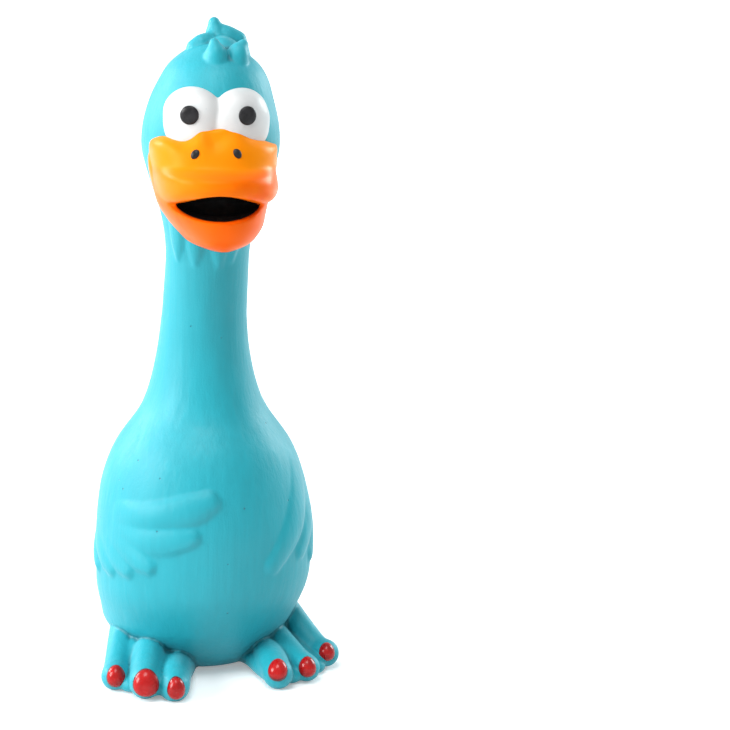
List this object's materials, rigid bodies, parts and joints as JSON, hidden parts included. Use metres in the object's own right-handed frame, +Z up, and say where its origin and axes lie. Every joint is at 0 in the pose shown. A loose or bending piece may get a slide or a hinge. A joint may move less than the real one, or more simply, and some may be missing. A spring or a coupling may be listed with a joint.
{
  "type": "squeaky dog toy",
  "caption": "Standing long-necked bird in soft moulded latex, with an open bill, folded wings, spread feet and a squeaker plugged into its base.",
  "frame": {"origin": "centre of the bounding box's footprint, on the floor that the toy stands on", "axes": "+Z up along the toy's height; the bird looks along -Y, so its own right side is at -X and its back at +Y"},
  "size_m": [0.0903, 0.0999, 0.2324],
  "materials": {
    "latex_blue": "matt moulded natural latex, dyed turquoise blue",
    "fibre": "loose white polyester fibre",
    "paint_white": "satin white latex paint, slightly blotchy",
    "paint_black": "semi-matt black latex paint",
    "paint_orange": "satin orange latex paint",
    "paint_red": "glossy red latex paint",
    "squeaker_plastic": "plain moulded polyethylene",
    "reed_brass": "bare strip"
  },
  "bodies": {
    "body": {"belly_skin": "latex_blue", "wing_right": "latex_blue", "wing_left": "latex_blue", "foot_right": "latex_blue", "foot_left": "latex_blue", "tail": "latex_blue", "belly_stuffing": "fibre", "toenail_right_1": "paint_red", "toenail_right_2": "paint_red", "toenail_right_3": "paint_red", "toenail_left_1": "paint_red", "toenail_left_2": "paint_red", "toenail_left_3": "paint_red", "squeaker_body": "squeaker_plastic", "squeaker_cap": "squeaker_plastic", "reed_tube": "squeaker_plastic", "reed_trough": "squeaker_plastic", "reed_wedge": "squeaker_plastic"},
    "belly_front": {"belly_front": "latex_blue"},
    "reed": {"reed": "reed_brass"},
    "neck": {"neck_skin": "latex_blue", "neck_stuffing": "fibre"},
    "head": {"head_skin": "latex_blue", "head_stuffing": "fibre", "crest": "latex_blue", "eye_right": "paint_white", "eye_left": "paint_white", "pupil_right": "paint_black", "pupil_left": "paint_black", "upper_beak": "paint_orange", "nostril_right": "paint_black", "nostril_left": "paint_black", "lower_beak": "paint_orange", "mouth_lining": "paint_black"}
  },
  "joints": [
    {"name": "neck_sway", "type": "hinge", "parent": "body", "child": "neck", "pos_m": [-0.0047, 0.00045, 0.118], "axis": [0, 1, 0], "range_deg": [-18, 18], "stiffness_Nm_per_rad": 0.6},
    {"name": "neck_nod", "type": "hinge", "parent": "neck", "child": "head", "pos_m": [-0.0047, -0.0027, 0.15], "axis": [1, 0, 0], "range_deg": [-15, 20], "stiffness_Nm_per_rad": 0.6},
    {"name": "belly_squeeze", "type": "slide", "parent": "body", "child": "belly_front", "axis": [0, 1, 0], "range_m": [0, 0.008], "stiffness_N_per_m": 1250, "deforming": ["belly_stuffing"]},
    {"name": "reed_flex", "type": "hinge", "parent": "body", "child": "reed", "pos_m": [-0.0047, 0.0075, 0.0029], "axis": [1, 0, 0], "range_deg": [0, 4]}
  ],
  "couplings": [
    {"joint": "reed_flex", "follows": "belly_squeeze", "rad_per_m": 8.7}
  ]
}
